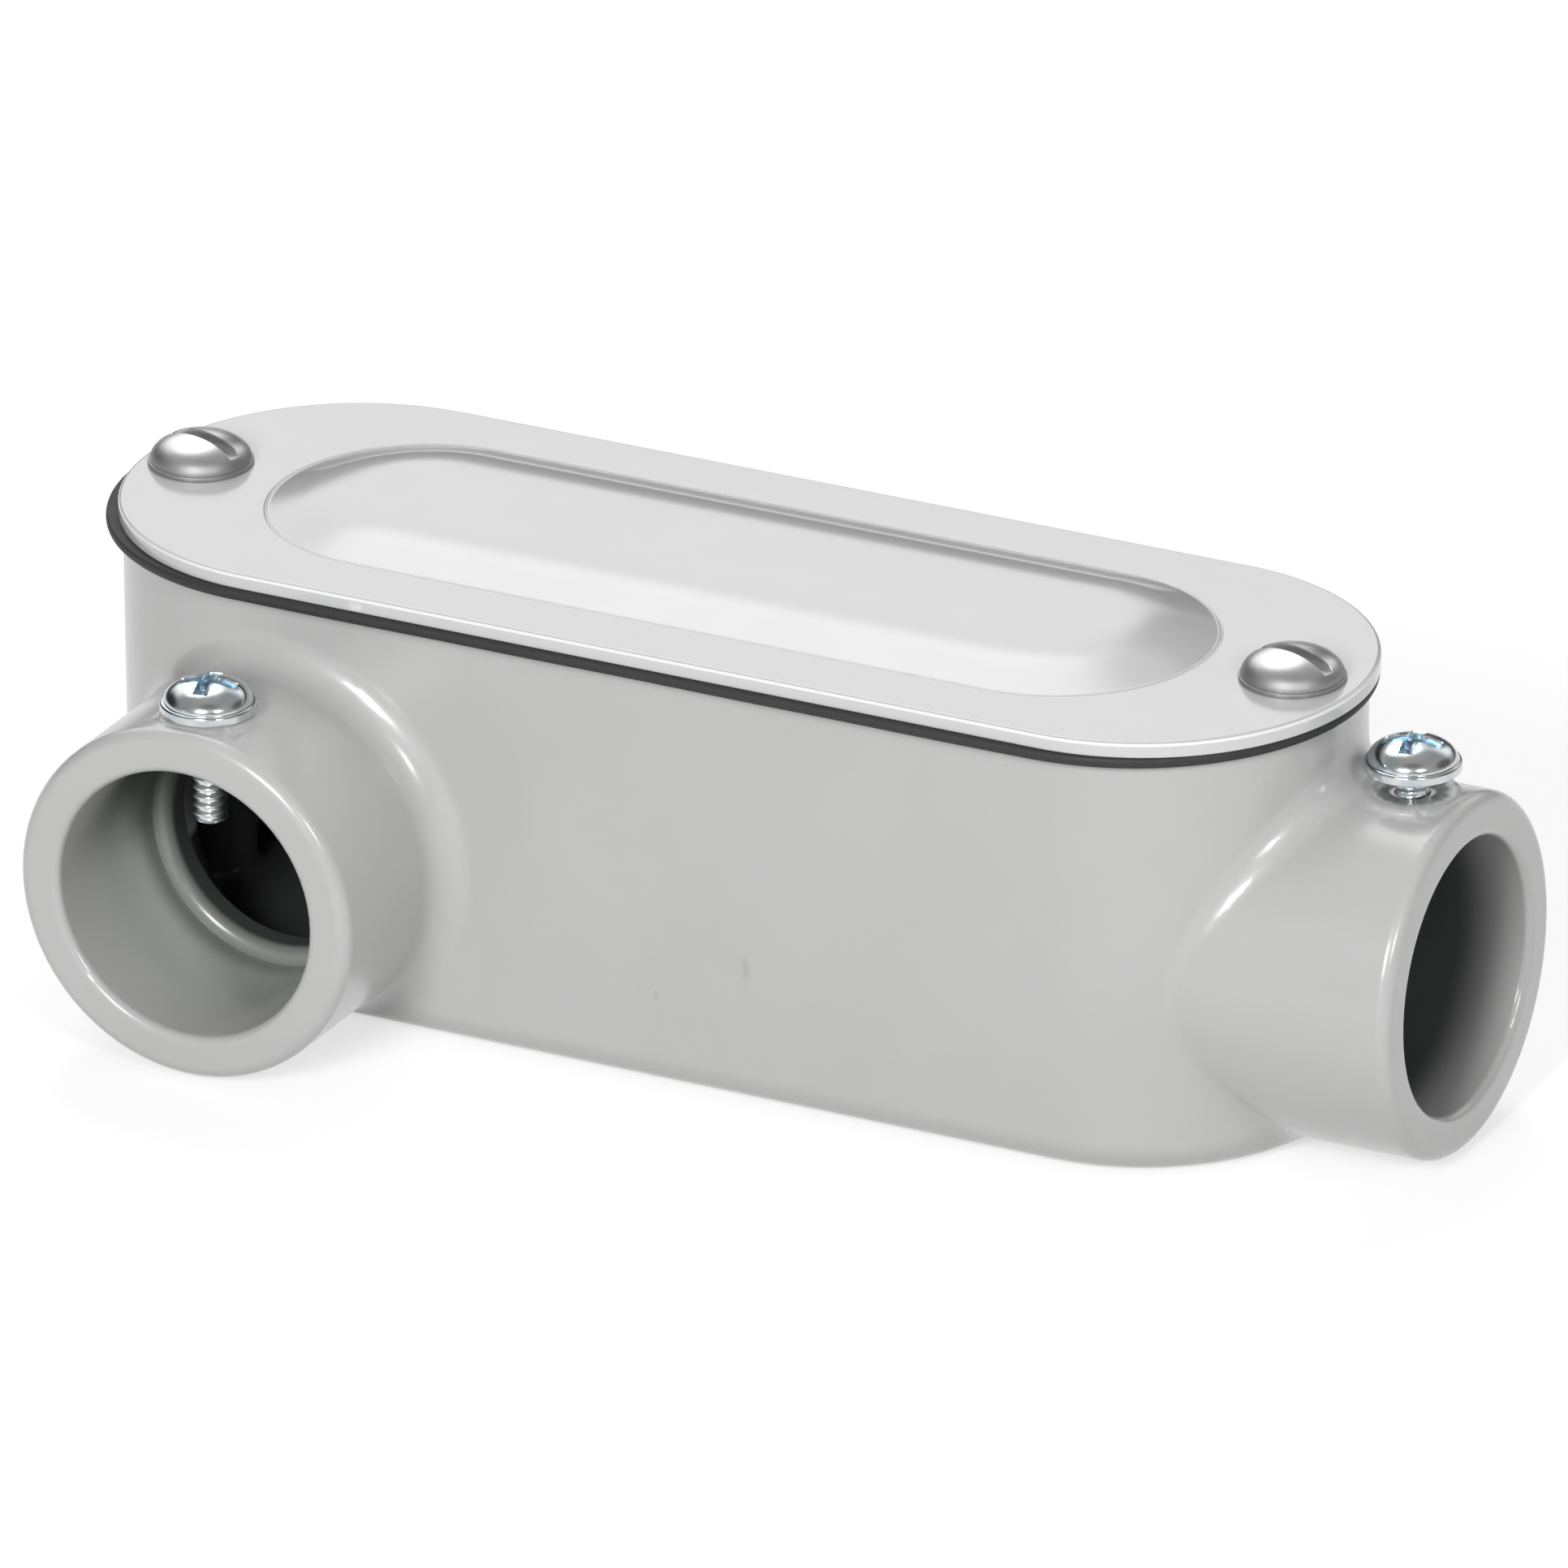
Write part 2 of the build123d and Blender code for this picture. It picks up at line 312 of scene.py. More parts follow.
def castingPaint(look):
    # cloudy grey paint with two small marks on the front wall; painted shade, darker, deep in the end socket,
    # at the top and the back of the side socket, in the throats and in the chamber; duller in the end socket,
    # at the side socket's top and in the throats
    paint = Shader(bpy.data.materials.new("casting_paint"))
    spot = paint.spot()
    x, y, z = paint.axes(spot)
    above = z - look["hubAxis"] * mm
    along = x - look["sideHubX"] * mm
    depth = look["hubReach"] * mm - x
    sideDepth = y + look["sideHubReach"] * mm
    aside = (y * y + above * above) ** 0.5
    sideAside = (along * along + above * above) ** 0.5
    socket, throat = socketMasks(paint, look, look["socketDepth"], depth, aside)
    side, sideThroat = socketMasks(paint, look, look["sideDepth"], sideDepth, sideAside)
    throats = throat + sideThroat
    top = paint.fade(look["sideTop"], above)
    # painted shade: the side socket's colour darkens towards its back and its top
    sideColour = paint.blend(paint.fade(look["sideBack"], sideDepth) * look["sideBackShare"],
                             look["sideColour"], look["sideShadeColour"])
    sideColour = paint.blend(top, sideColour, look["sideShadeColour"])
    marks = markMask(paint, look) * look["markShare"]
    colour = paint.blend(marks, cloudyColour(paint, look, spot), look["markColour"])
    colour = paint.blend(side, colour, sideColour)
    # painted shade deep in the end socket
    colour = paint.blend(socket, colour, look["socketShadeColour"])
    # painted shade in the chamber and the throats
    paintedShade = (chamberMask(paint, look, x, y, z) + throats).math("MINIMUM", 1.0)
    colour = paint.blend(paintedShade, colour, look["chamberShadeColour"])
    dull = (socket + side * top + throats).math("MINIMUM", 1.0)
    skin, rough = paintedSkin(paint, look, spot)
    return paint.finish(Base_Color=colour, Roughness=rough + dull * look["dullRoughness"],
                        Coat_Weight=(1 - dull * look["dullCoat"]) * look["coat"],
                        Coat_Roughness=look["coatRoughness"], Normal=skin)


def makeCasting():
    # the CAD casting's own surface, welded, with even normals
    made = bpy.data.objects.new("casting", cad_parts["body_casting"].data.copy())
    made.data.materials.clear()
    bpy.context.scene.collection.objects.link(made)
    weld(made, distance=2e-6)
    shade(made, sharp=52)
    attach(made, "casting")
    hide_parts("body_casting")
    made.data.materials.append(castingPaint(castingLook))
    return made


casting = makeCasting()
print("casting:", len(casting.data.polygons), "faces")


stopBead = {"depth": 16.3, "back": 19.2, "inner": 10.38, "round": 1.3, "root": 12.1,
            "end": (69.3, 0.0, 16.3), "side": (-35.3, -35.7, 16.3)}


def stopBeads(size):
    # in each socket a ring about the hub's axis, its profile (depth from the mouth, radius) a step whose inner
    # edge is a quarter circle: the rounded bead that stops the tube
    turn = np.linspace(0, math.pi / 2, 12)
    depth = size["depth"] + size["round"] * (1 - np.cos(turn))
    radius = size["inner"] + size["round"] * (1 - np.sin(turn))
    depth = np.concatenate([[size["depth"]], depth, [size["back"], size["back"], size["depth"]]])[:, None]
    radius = np.concatenate([[size["root"]], radius, [size["inner"], size["root"], size["root"]]])[:, None]
    around = np.linspace(0, 2 * math.pi, 144, endpoint=False)
    aside, above = radius * np.cos(around), radius * np.sin(around)
    inwards = depth + 0 * aside
    end = np.stack([-inwards, aside, above], axis=-1) + size["end"]
    side = np.stack([aside, inwards, above], axis=-1) + size["side"]
    return [grid(end * mm), grid(side * mm)]


beads = piece("stop_beads", stopBeads(stopBead), "casting")
beads.data.materials.append(casting.data.materials[0])
print("stop beads:", len(beads.data.polygons), "faces")


threadRing = {"places": [(63.9, 0.0), (-35.3, -30.3)], "inner": 1.56, "outer": 2.2, "low": 28.6, "high": 32.35}


def threadRings(size):
    # round each set screw's shank a short tube, its square section (radius, height) carried round the screw's
    # axis: the hub wall's own metal up to the slim thread
    around = np.linspace(0, 2 * math.pi, 64, endpoint=False)
    radius = np.array([size[side] for side in ("inner", "outer", "outer", "inner", "inner")])[:, None]
    height = np.array([size[level] for level in ("high", "high", "low", "low", "high")])[:, None]
    ring = np.stack([radius * np.cos(around), radius * np.sin(around), height + 0 * around], axis=-1)
    return [grid((ring + (x, y, 0)) * mm) for x, y in size["places"]]


rings = piece("thread_rings", threadRings(threadRing), "casting")
rings.data.materials.append(casting.data.materials[0])
print("thread rings:", len(rings.data.polygons), "faces")


cover = {
    "half": 38.1, "radius": 20.2, "shift": 0.4, "low": 39.3, "sheet": 1.4, "edge": 0.4, "burr": 0.12,
    "panelHalf": 30.4, "panelRadius": 13.6, "rise": 1.8, "run": 5.6, "crown": 18.0, "foot": 0.1,
    "straight": (0.4, 2.4), "groove": 0.42, "grooveDepth": 0.09, "hollowIn": 0.2,
    "screws": [(-52.6, 0), (52.6, 0)], "hole": 2.7,
    "colour": (0.54, 0.54, 0.54, 1),
    "cloudColour": (0.52, 0.52, 0.52, 1), "cloudSize": 20, "cloudEnds": (0.4, 0.8), "cloudShare": 0.3,
    # painted highlight where the edge turns over, and the side below it painted lighter as if lit
    "edgeHighlightColour": (0.93, 0.93, 0.93, 1), "edgeBelow": (0.1, 0.15),
    "sideColour": (0.64, 0.64, 0.64, 1), "sideBelow": (0.28, 0.4),
    "peelSize": 1.4, "peelHeight": 0.006, "waveSize": 18, "waveHeight": 0.05,
    "roughness": 0.34, "patchSize": 5, "patchRoughness": 0.1, "coat": 0.9, "coatRoughness": 0.1,
}


def panelProfile(size):
    # (distance in from the foot, height) of the raised panel: a short hollow blend, a straight slope, then
    # an arc of the crown radius that meets the flat
    slope = size["rise"] / size["run"]
    reach = size["crown"] * math.tan(math.atan(slope) / 2)
    blend = np.linspace(-size["foot"], size["foot"], 7)
    foot = slope * (blend + size["foot"]) ** 2 / (4 * size["foot"])
    inner = size["run"] + reach
    arc = np.linspace(size["run"] - reach, inner, 22)
    top = size["rise"] - size["crown"] + np.sqrt(size["crown"] ** 2 - (inner - arc) ** 2)
    flat = np.linspace(inner, size["panelRadius"], 6)[1:]
    straight = np.linspace(*size["straight"], 5)
    distance = np.concatenate([blend, straight, arc, flat])
    height = np.concatenate([foot, slope * straight, top, 0 * flat + size["rise"]])
    return distance, height


def coverRows(size):
    # from the middle of the panel out over its foot, a fine groove of squared-sine section and the rim, round
    # the quarter-circle edge, and back underneath
    distance, height = panelProfile(size)
    high = size["low"] + size["sheet"]
    panel = ringRows(size["panelHalf"], size["panelRadius"] - distance, 0, high + height)
    across = np.linspace(0, 1, 10)[1:]
    groove = ringRows(size["panelHalf"], size["panelRadius"] + size["foot"] + size["groove"] * across, 0,
                      high - size["grooveDepth"] * np.sin(math.pi * across) ** 2)
    outer = size["radius"] - size["edge"]
    rim = ringRows([size["half"]], [outer], [size["shift"]], [high])
    spread = np.linspace(0, 1, 8)[1:-1, None]
    flat = groove[-1:] + (rim - groove[-1:]) * spread
    turn = np.linspace(0, math.pi / 2, 9)
    edge = ringRows(size["half"], outer + size["edge"] * np.sin(turn), size["shift"],
                    high - size["edge"] * (1 - np.cos(turn)))
    lower = np.linspace(0, math.pi / 2, 5)
    under = ringRows(size["half"], size["radius"] - size["burr"] * (1 - np.cos(lower)), size["shift"],
                     size["low"] + size["burr"] * (1 - np.sin(lower)))
    hollow = panel.copy()
    hollow[:, 1] = np.maximum(hollow[:, 1] - size["hollowIn"], 0)
    hollow[:, 3] -= size["sheet"]
    return np.concatenate([panel[::-1], groove, flat, edge, under, hollow])


def coverPaint(look):
    # smooth paint on sheet metal: faint clouds, little orange peel, slow waves, a painted highlight where the
    # edge turns over and a little painted light on the side below it
    paint = Shader(bpy.data.materials.new("cover_paint"))
    spot = paint.spot()
    below = (look["low"] + look["sheet"]) * mm - paint.axes(spot)[2]
    colour = cloudyColour(paint, look, spot)
    # painted highlight along the edge, then the side painted lighter as if lit
    colour = paint.blend(paint.fade(look["edgeBelow"], below), colour, look["edgeHighlightColour"])
    colour = paint.blend(paint.fade(look["sideBelow"], below), colour, look["sideColour"])
    skin, rough = paintedSkin(paint, look, spot)
    return paint.finish(Base_Color=colour, Roughness=rough, Coat_Weight=look["coat"],
                        Coat_Roughness=look["coatRoughness"], Normal=skin)


coverPlate = piece("cover", [grid(roundEnded(coverRows(cover)))], "cover", "cover_plate", sharp=30)
drill(coverPlate, cover["screws"], cover["hole"], cover["low"], cover["low"] + cover["sheet"])
coverPlate.data.materials.append(coverPaint(cover))
print("cover:", len(coverPlate.data.polygons), "faces")


gasket = {
    "half": 38.0, "radius": 20.8, "shift": -0.25, "windowHalf": 31.6, "windowRadius": 14.8,
    "low": 38.4, "thick": 0.9, "bulge": 0.22, "hole": 2.4,
    "wander": 0.1, "waves": [(3.1, 4.3, 0), (7.7, -2.9, 1)], "endShare": 0.3, "least": 8,
    "colour": (0.022, 0.022, 0.023, 1),
    "dustColour": (0.05, 0.05, 0.049, 1), "dustSize": 2, "dustEnds": (0.5, 0.85), "dustShare": 0.5,
    "grainSize": 0.35, "grainHeight": 0.04, "roughness": 0.6, "patchSize": 1, "patchRoughness": 0.2,
}


def gasketPoints(size):
    # a flat ring whose squeezed edges bulge: each edge is half an ellipse, and y is drawn in a little, by two
    # sine waves over x and y divided by sqrt((end share * x)^2 + y^2), which counts as no less than "least"
    turn = np.linspace(-math.pi / 2, math.pi / 2, 9)
    height = size["low"] + size["thick"] / 2 * (1 + np.sin(turn))
    swell = size["bulge"] * (1 - np.cos(turn))
    outer = ringRows(size["half"], size["radius"] - swell, size["shift"], height)
    inner = ringRows(size["windowHalf"], size["windowRadius"] + swell, 0, height)
    points = roundEnded(np.concatenate([outer, inner[::-1], outer[:1]]), 96, 90)
    x, y = points[0, :, 0] / mm, points[0, :, 1] / mm
    wander = sum(0.25 + 0.25 * np.sin(x / across + y / along + start) for across, along, start in size["waves"])
    reach = np.hypot(size["endShare"] * x, y).clip(size["least"], None)
    points[:, :, 1] *= 1 - size["wander"] * wander / reach
    return points


def gasketRubber(look):
    # matte charcoal rubber with fine grain and a little dust
    rubber = Shader(bpy.data.materials.new("gasket_rubber"))
    spot = rubber.spot()
    dust = rubber.between(look["dustEnds"], rubber.noise(spot, look["dustSize"], detail=4.0, rough=0.7))
    colour = rubber.blend(dust * look["dustShare"], look["colour"], look["dustColour"])
    grain = rubber.bump(rubber.noise(spot, look["grainSize"], detail=3.0), look["grainHeight"])
    rough = (rubber.noise(spot, look["patchSize"]) - 0.5) * look["patchRoughness"] + look["roughness"]
    return rubber.finish(Base_Color=colour, Roughness=rough, Normal=grain)


gasketRing = piece("gasket", [grid(gasketPoints(gasket))], "casting", "cover_gasket", sharp=40)
drill(gasketRing, cover["screws"], gasket["hole"], gasket["low"], gasket["low"] + gasket["thick"])
gasketRing.data.materials.append(gasketRubber(gasket))
print("gasket:", len(gasketRing.data.polygons), "faces")


coverScrew = {
    "radius": 4.6, "height": 2.7, "rim": 0.4, "lip": 0.17, "round": 0.1, "turn": -12.0, "soft": 0.07,
    "slot": 1.2, "cut": 1.3, "shank": 2.05, "length": 9.5, "seat": 9.5, "point": 0.6, "pitch": 0.8,
    "steps": 110,
    "colour": (0.62, 0.62, 0.62, 1), "roughness": 0.25,
    "hazeColour": (0.5, 0.5, 0.505, 1), "hazeSize": 1.6, "hazeShare": 0.5, "hazeRoughness": 0.1,
    "ringsPerMetre": 9000.0, "ringRoughness": 0.05, "ringHeight": 0.0012,
    # painted shade: darker towards the foot of the head
    "footShadeColour": (0.26, 0.26, 0.262, 1), "footHeight": (1.9, 0.9), "footShare": 0.7, "footRoughness": 0.2,
}
setScrew = {
    "radius": 4.2, "height": 2.75, "rim": 0.85, "lip": 0.34, "round": 0.26, "turn": 12.0, "soft": 0.1,
    "cross": 4.8, "arm": 1.1, "cut": 1.4, "dish": 0.25, "shank": 1.5, "length": 10.2, "seat": 11.02,
    "point": 0.25, "pitch": 0.8, "steps": 150,
    "colour": (0.50, 0.55, 0.58, 1), "roughness": 0.1,
    "patchColour": (0.62, 0.64, 0.62, 1), "patchSize": 2.2, "patchEnds": (0.35, 0.7), "patchRoughness": 0.08,
    "recessColour": (0.46, 0.56, 0.63, 1), "recessBelow": (0.05, 0.3), "recessReach": (2.7, 2.4),
    # the shank's lighter colour is a painted highlight
    "recessFloor": (-0.4, -0.2), "shankHighlightColour": (0.78, 0.82, 0.84, 1), "shankHeight": (-0.3, -0.6),
    "grainSize": 0.3, "grainRoughness": 0.1, "grainHeight": 0.006,
}
headGrid = {"wallReach": 1.4, "wallRows": 11, "closest": 0.008, "apart": 0.02}
underHead = {"edge": 0.06, "neck": [(0.25, 0.0), (0.07, -0.06), (0.0, -0.25)]}
thread = {"start": 0.25, "full": 1.1, "stepsPerTurn": 9, "flank": 2.6, "crest": 0.15, "depth": 0.34, "tip": 0.6}


def smooth(low, high, value):
    # 3 t^2 - 2 t^3, where t goes from 0 at low to 1 at high
    t = np.clip((value - low) / (high - low), 0, 1)
    return t * t * (3 - 2 * t)


def headRows(size):
    # even steps of angle across the head, and closer rows at the walls of the recess
    even = np.sin(np.linspace(-math.pi / 2, math.pi / 2, size["steps"]))
    inner = size["radius"] - size["lip"]
    wall = size.get("slot", size.get("arm")) / 2
    walls = np.linspace(-headGrid["wallReach"], headGrid["wallReach"], headGrid["wallRows"])
    close = wall + walls * size["soft"]
    rows = np.sort(np.concatenate([even * inner, close, -close]))
    keep = np.concatenate([[True], np.diff(rows[:-1]) > headGrid["closest"], [True]])
    return rows[keep]


def headTop(size, along, across):
    # quarter-ellipse dome, less a recess with soft walls: a slot with a flat floor, or a cross whose floor
    # rises with the square of the distance from its middle
    inner = size["radius"] - size["lip"]
    fall = np.clip(1 - (along ** 2 + across ** 2) / inner ** 2, 0, 1)
    dome = size["rim"] + (size["height"] - size["rim"]) * np.sqrt(fall)
    floor = size["height"] - size["cut"]
    soft = size["soft"]
    if "slot" in size:
        inside = 1 - smooth(size["slot"] / 2 - soft, size["slot"] / 2 + soft, np.abs(across))
        bed = floor + 0 * along
    else:
        half, arm = size["cross"] / 2, size["arm"] / 2
        first = np.maximum(np.abs(along) - half, np.abs(across) - arm)
        second = np.maximum(np.abs(across) - half, np.abs(along) - arm)
        inside = 1 - smooth(-soft, soft, np.minimum(first, second))
        bed = floor + size["dish"] * np.minimum(np.hypot(along, across) / half, 1) ** 2
    return dome - inside * np.maximum(dome - bed, 0)


def screwParts(size):
    # head: height field on rows along the slot, x = u * sqrt(R^2 - v^2). Below it the head's boundary loop is
    # carried down as rim, seat, neck, thread and point
    inner = size["radius"] - size["lip"]
    rows = headRows(size)
    u = np.sin(np.linspace(-math.pi / 2, math.pi / 2, size["steps"]))
    across = np.repeat(rows[:, None], len(u), axis=1)
    along = u[None, :] * np.sqrt(np.clip(inner ** 2 - rows ** 2, 0, None))[:, None]
    top = np.stack([along, across, headTop(size, along, across)], axis=-1)
    loop = np.concatenate([np.arctan2(rows, along[:, -1]), np.arctan2(rows, along[:, 0])[-2:0:-1]])
    r, rim, shank, edge, length = (size[name] for name in ("radius", "rim", "shank", "round", "length"))
    under, apart = underHead["edge"], headGrid["apart"]
    beyond, below = np.array(underHead["neck"]).T
    quarter = np.linspace(0, math.pi / 2, 7)
    level, rise = np.sin(quarter), np.cos(quarter)
    radius = np.concatenate([[inner, inner + apart], r - edge * (1 - level), r - under * (1 - rise),
                             shank + beyond])
    height = np.concatenate([[rim, rim], rim - edge * (1 - rise), under * (1 - level), below])
    drop = np.arange(thread["start"], length, size["pitch"] / thread["stepsPerTurn"])[:, None] + 0 * loop
    phase = (drop / size["pitch"] + loop / (2 * math.pi)) % 1
    tooth = np.clip(np.abs(phase - 0.5) * thread["flank"] - thread["crest"], 0, 1)
    depth = thread["depth"] * size["pitch"] * smooth(thread["start"], thread["full"], drop)
    reach = np.minimum(shank - depth * tooth, shank - size["point"] + (length - drop))
    tip = np.array([shank - size["point"] - apart, thread["tip"], 0])[:, None] + 0 * loop
    radius = np.concatenate([radius[:, None] + 0 * loop, reach, tip])
    height = np.concatenate([height[:, None] + 0 * loop, -drop, 0 * tip - length])
    skirt = np.stack([radius * np.cos(loop), radius * np.sin(loop), height], axis=-1)
    return [(top, False), (skirt, True)]


def polished(name, seat, look):
    # polished steel: faint turning rings about the screw's axis, a few clouds of haze; towards the foot of the
    # head duller, and darker in painted shade
    steel = Shader(bpy.data.materials.new(name))
    near = steel.spot(seat)
    rings = steel.node("ShaderNodeTexNoise", {"noise_dimensions": "1D"},
                       {"W": steel.length(near, (1, 1, 0)), "Scale": look["ringsPerMetre"], "Detail": 2.0})
    haze = steel.noise(near, look["hazeSize"], detail=3.0)
    foot = steel.fade(look["footHeight"], steel.axes(near)[2])
    rough = (haze * look["hazeRoughness"] + rings * look["ringRoughness"] + look["roughness"]
             + foot * look["footRoughness"])
    colour = steel.blend(haze * look["hazeShare"], look["colour"], look["hazeColour"])
    # painted shade towards the foot of the head
    colour = steel.blend(foot * look["footShare"], colour, look["footShadeColour"])
    return steel.finish(Base_Color=colour, Metallic=1.0, Roughness=rough,
                        Normal=steel.bump(rings, look["ringHeight"]))


def zinc(name, seat, look):
    # bright zinc plating: slow patches of tone and a soft grain, bluer in the recess, which is found by its
    # depth below the head's dome, and lighter on the shank, a painted highlight
    plate = Shader(bpy.data.materials.new(name))
    near = plate.spot(seat)
    height = plate.axes(near)[2]
    patches = plate.noise(near, look["patchSize"], detail=3.0)
    reach = plate.length(near, (1, 1, 0))
    inner = (look["radius"] - look["lip"]) * mm
    share = (1 - (reach / inner) ** 2).math("MAXIMUM", 0.0) ** 0.5
    dome = share * ((look["height"] - look["rim"]) * mm) + look["rim"] * mm
    floor = (look["height"] - look["cut"]) * mm
    recess = (plate.fade(look["recessBelow"], dome - height) * plate.fade(look["recessReach"], reach)
              * plate.fade(look["recessFloor"], height - floor))
    colour = plate.blend(plate.between(look["patchEnds"], patches), look["colour"], look["patchColour"])
    colour = plate.blend(recess, colour, look["recessColour"])
    # painted highlight: the shank lighter
    colour = plate.blend(plate.fade(look["shankHeight"], height), colour, look["shankHighlightColour"])
    grain = plate.noise(near, look["grainSize"], detail=3.0)
    rough = grain * look["grainRoughness"] + patches * look["patchRoughness"] + look["roughness"]
    return plate.finish(Base_Color=colour, Metallic=1.0, Roughness=rough,
                        Normal=plate.bump(grain, look["grainHeight"]))


def makeScrew(name, size, node, body, material):
    # the screw sits where its node sits, "seat" above the node's tip, its recess turned about its own axis
    low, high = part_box(node)
    seat = np.array([(low.x + high.x) / 2, (low.y + high.y) / 2, low.z + size["seat"] * mm])
    a = math.radians(size["turn"])
    turn = np.array([[math.cos(a), math.sin(a), 0], [-math.sin(a), math.cos(a), 0], [0, 0, 1]])
    parts = [grid(points @ turn * mm + seat, wrap) for points, wrap in screwParts(size)]
    made = piece(name, parts, body, node, sharp=38)
    made.data.materials.append(material(name + "_finish", tuple(seat), size))
    print(name, len(made.data.polygons), "faces")


for name, size, node, material, slot in (
        ("blind_end_cover_screw", coverScrew, "cover_screw_blind_end", polished, "polished_screw"),
        ("hub_end_cover_screw", coverScrew, "cover_screw_hub_end", polished, "polished_screw"),
        ("end_set_screw", setScrew, "set_screw_end_hub", zinc, "zinc_screw"),
        ("side_set_screw", setScrew, "set_screw_side_hub", zinc, "zinc_screw")):
    makeScrew(name, size, node, name, material)


studio = {
    # sizes in metres
    "middle": Vector((0.004, 0, 0.02)),
    "floorHalf": 6.0, "floorHeight": -0.0001, "floorTone": 0.56, "floorGlow": 0.6,
    "farGlow": 0.4, "farAway": (0.35, 1.4),
    "airLow": 0.08, "airHigh": 0.2,
    "tentRadius": 2.6, "tentArc": (-0.3, 1.5707), "tentBrightness": 0.42, "patchEdge": (1.2, 0.55),
}
softboxes = [
    # name, azimuth, elevation, distance, width, height, radiance, and whether reflections find it
    ("front left", 6, 27, 1.0, 0.25, 0.28, 26.5, True),
    ("front right", 50, 27, 1.0, 0.15, 0.19, 26.5, True),
    ("overhead", -150, 58, 1.0, 0.6, 0.45, 3.8, False),
    ("end fill", 98, 14, 1.0, 0.3, 0.3, 3.4, False),
]
tentPatches = [
    # what reflections find round the object: azimuth, elevation, half width, half height, brightness
    (-150, 30, 60, 22, 1.8),
    (-138, 57, 34, 15, 3.9),
    (-150, 3, 64, 15, 0.04),
    (-172, 28, 13, 18, 0.12),
    (-92, 16, 34, 24, 0.03),
    (48, 18, 20, 15, 0.06),
    (118, 24, 28, 22, 0.14),
    (-34, 5, 12, 9, 1.0),
    (28, 62, 40, 16, 0.22),
]


def towards(azimuth, elevation):
    # unit vector (sin a cos e, -cos a cos e, sin e) from the object: azimuth 0 is towards -Y, 90 towards +X
    a, e = math.radians(azimuth), math.radians(elevation)
    return Vector((math.sin(a) * math.cos(e), -math.cos(a) * math.cos(e), math.sin(e)))


def seenBackground(shader):
    # 1 for rays from the camera and for reflected and passing rays, 0 for the light that falls on things
    camera, glossy, passing = (shader.ray(kind) for kind in ("Camera", "Glossy", "Transmission"))
    return (camera + glossy + passing).math("MINIMUM", 1.0)


def makeSoftbox(name, azimuth, elevation, distance, width, height, radiance, reflected):
    # a rectangular lamp that faces the middle of the object
    lamp = bpy.data.lights.new(name, "AREA")
    lamp.shape = "RECTANGLE"
    lamp.size = width
    lamp.size_y = height
    lamp.energy = radiance * width * height * math.pi
    box = bpy.data.objects.new(name, lamp)
    way = towards(azimuth, elevation)
    turned = way.to_track_quat("Z", "Y").to_matrix().to_4x4()
    box.matrix_world = Matrix.Translation(studio["middle"] + way * distance) @ turned
    box.visible_camera = False
    box.visible_glossy = reflected
    bpy.context.scene.collection.objects.link(box)


def floorPaper():
    # matte paper with a glow that only the camera and reflections see, stronger for the camera far away
    paper = Shader(bpy.data.materials.new("floor_paper"))
    matte = paper.node("ShaderNodeBsdfDiffuse", None, {"Color": (*[studio["floorTone"]] * 3, 1)})
    farAway = paper.between(studio["farAway"], paper.length(paper.spot())) * paper.ray("Camera")
    strength = seenBackground(paper) * studio["floorGlow"] + farAway * studio["farGlow"]
    glow = paper.node("ShaderNodeEmission", None, {"Color": (1, 1, 1, 1), "Strength": strength})
    paper.owner.cycles.emission_sampling = "NONE"
    return paper.close(paper.node("ShaderNodeAddShader", None, [matte, glow]))


def tentCloth():
    # brightness by direction: each patch is an ellipse of azimuth and elevation with a soft edge, laid over the
    # ones before it
    cloth = Shader(bpy.data.materials.new("tent_cloth"))
    x, y, z = cloth.axes(cloth.spot())
    azimuth = x.math("ARCTAN2", 0 - y)
    elevation = (z / studio["tentRadius"]).math("ARCSINE")
    brightness = studio["tentBrightness"]
    for centre, level, halfWidth, halfHeight, value in tentPatches:
        aside = (azimuth - math.radians(centre)).math("WRAP", math.pi, -math.pi) / math.radians(halfWidth)
        above = (elevation - math.radians(level)) / math.radians(halfHeight)
        amount = cloth.between(studio["patchEdge"], (aside * aside + above * above) ** 0.5)
        brightness = amount * (value - brightness) + brightness
    cloth.owner.cycles.emission_sampling = "NONE"
    return cloth.close(cloth.node("ShaderNodeEmission", None, {"Color": (1, 1, 1, 1), "Strength": brightness}))


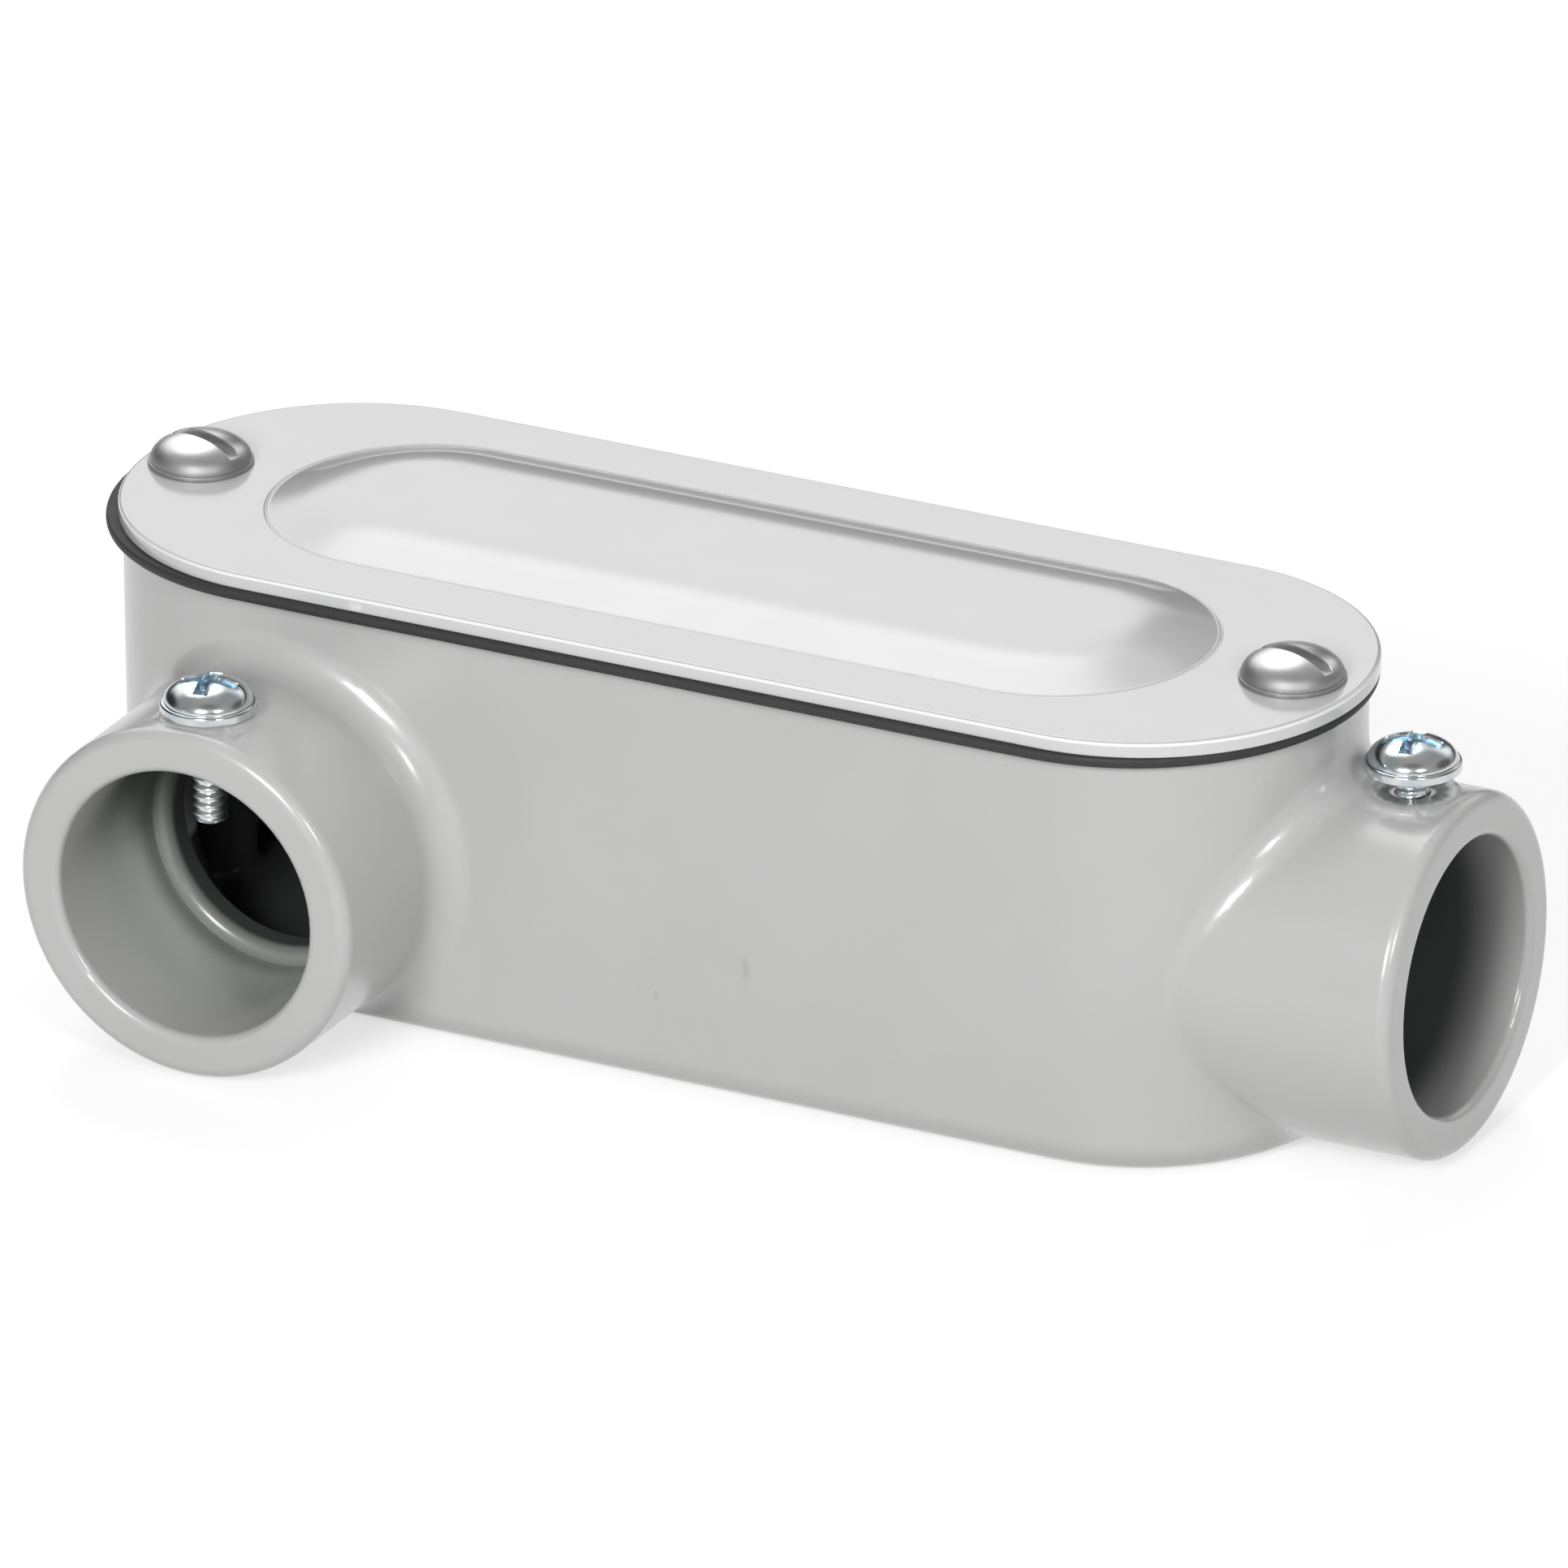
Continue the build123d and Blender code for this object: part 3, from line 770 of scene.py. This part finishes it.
def makeWorld():
    # white where it is seen; as light it is faint, and stronger from above
    world = bpy.data.worlds.new("studio")
    air = Shader(world)
    skyward = air.axes(air.node("ShaderNodeTexCoord", output="Generated"))[2].math("MAXIMUM", 0.0)
    soft = skyward * studio["airHigh"] + studio["airLow"]
    strength = seenBackground(air) * (1 - soft) + soft
    air.close(air.node("ShaderNodeBackground", None, {"Color": (1, 1, 1, 1), "Strength": strength}),
              "ShaderNodeOutputWorld")
    return world


for softbox in softboxes:
    makeSoftbox(*softbox)

half, level = studio["floorHalf"], studio["floorHeight"]
corners = np.array([(-half, -half, level), (half, -half, level), (half, half, level), (-half, half, level)])
floor = meshObject("floor", corners, np.array([[0, 1, 2, 3]]))
floor.data.materials.append(floorPaper())

turn, tilt = np.meshgrid(np.linspace(0, 2 * math.pi, 96, endpoint=False), np.linspace(*studio["tentArc"], 36))
ball = np.stack([np.cos(tilt) * np.cos(turn), np.cos(tilt) * np.sin(turn), np.sin(tilt)], axis=-1)
tent = meshObject("tent", *grid(ball * studio["tentRadius"]))
tent.location = studio["middle"]
tent.data.materials.append(tentCloth())
tent.visible_camera = tent.visible_diffuse = tent.visible_shadow = tent.visible_transmission = False

bpy.context.scene.world = makeWorld()
print("studio set:", len(softboxes), "lamps")


view = {"azimuth": 27.7, "elevation": 23.67, "roll": -0.49, "distance": 1.87776,
        "target": (0.00404, 0.0, 0.02139), "focalPixels": 27003.08, "framePixels": 1932,
        "sensor": 36, "near": 0.05, "far": 30}


def makeCamera(view):
    # looks at the target from the distance along its direction, rolled about that line
    back = towards(view["azimuth"], view["elevation"])
    right = (-back).cross(Vector((0, 0, 1))).normalized()
    up = right.cross(-back)
    roll = math.radians(view["roll"])
    sideways = right * math.cos(roll) + up * math.sin(roll)
    upwards = up * math.cos(roll) - right * math.sin(roll)
    lens = bpy.data.cameras.new("camera")
    lens.sensor_width = view["sensor"]
    lens.lens = view["focalPixels"] / view["framePixels"] * view["sensor"]
    lens.clip_start = view["near"]
    lens.clip_end = view["far"]
    camera = bpy.data.objects.new("camera", lens)
    turned = Matrix((sideways, upwards, back)).transposed().to_4x4()
    camera.matrix_world = Matrix.Translation(Vector(view["target"]) + back * view["distance"]) @ turned
    bpy.context.scene.collection.objects.link(camera)
    return camera


bpy.context.scene.camera = makeCamera(view)
bpy.context.scene.view_settings.view_transform = "Standard"
print("camera set")
